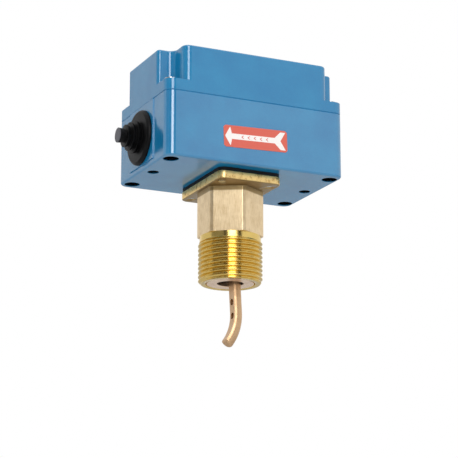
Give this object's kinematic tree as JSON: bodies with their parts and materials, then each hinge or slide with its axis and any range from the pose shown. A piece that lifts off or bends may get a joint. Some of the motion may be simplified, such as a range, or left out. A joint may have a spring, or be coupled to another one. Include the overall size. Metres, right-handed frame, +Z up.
{
  "type": "paddle flow switch",
  "caption": "Flow switch for a pipe: a closed plastic switch box on a brass pipe-thread stem, with a swinging arm for paddles below it.",
  "frame": {"origin": "on the axis of the stem, in the plane of the hexagon's lower face, where the pipe thread starts", "axes": "+Z up the stem into the switch box, +X along the box against the flow (the cable inlet is on the -X end), -Y the side with the label"},
  "size_m": [0.1125, 0.0647, 0.1457],
  "materials": {
    "housing": "moulded, satin gloss, blue grey",
    "cover": "moulded, satin gloss, blue grey",
    "rubber_black": "moulded, dark, slight sheen",
    "gasket_rubber": "matt",
    "label_red": "printed film",
    "brass_stem": "turned and milled",
    "brass_inner": "turned",
    "arm_brass": "drawn, satin",
    "bush_bronze": "turned",
    "pin_steel": "ground",
    "zinc_steel": "zinc plated",
    "screw_steel": "zinc plated",
    "spring_steel": "wire",
    "bellows_rubber": "moulded",
    "switch_black": "moulded",
    "plunger_red": "moulded",
    "seat_brass": "stamped"
  },
  "bodies": {
    "housing": {"enclosure_base": "housing", "enclosure_cover": "cover", "cover_gasket": "gasket_rubber", "cover_screws": "screw_steel", "cable_grommet": "rubber_black", "flow_label": "label_red", "stem_body": "brass_stem", "stem_bush": "bush_bronze", "pivot_carrier": "brass_inner", "pivot_pin": "pin_steel", "flange_gasket": "gasket_rubber", "flange_screws": "screw_steel", "seal_bellows": "bellows_rubber", "mounting_bracket": "zinc_steel", "switch_case": "switch_black", "terminal_plates": "seat_brass", "terminal_screws": "screw_steel", "switch_screws": "screw_steel", "earth_screw": "screw_steel"},
    "arm": {"paddle_arm": "arm_brass", "operating_lever": "zinc_steel", "lever_nut": "screw_steel"},
    "plunger": {"switch_plunger": "plunger_red"},
    "adjuster": {"range_screw": "screw_steel", "range_clip": "spring_steel"},
    "seat": {"spring_seat": "seat_brass", "range_spring": "spring_steel"}
  },
  "joints": [
    {"name": "paddle_lever", "type": "hinge", "parent": "housing", "child": "arm", "pos_m": [0, 0, 0.018], "axis": [0, 1, 0], "range_deg": [0, 7], "stiffness_Nm_per_rad": 0.35, "springref_deg": -8.59, "deforming": ["range_spring", "seal_bellows"]},
    {"name": "switch_plunger", "type": "slide", "parent": "housing", "child": "plunger", "axis": [0, 0, 1], "range_m": [0, 0.0015]},
    {"name": "range_screw", "type": "hinge", "parent": "housing", "child": "adjuster", "pos_m": [0.024, 0, 0.06], "axis": [0, 0, 1], "range_deg": [-720, 720]},
    {"name": "spring_seat", "type": "slide", "parent": "housing", "child": "seat", "axis": [0, 0, 1], "range_m": [-0.0014, 0.0014], "deforming": ["range_spring"]}
  ],
  "couplings": [
    {"joint": "switch_plunger", "follows": "paddle_lever", "m_per_rad": 0.011459},
    {"joint": "range_screw", "follows": "spring_seat", "rad_per_m": -8976}
  ]
}
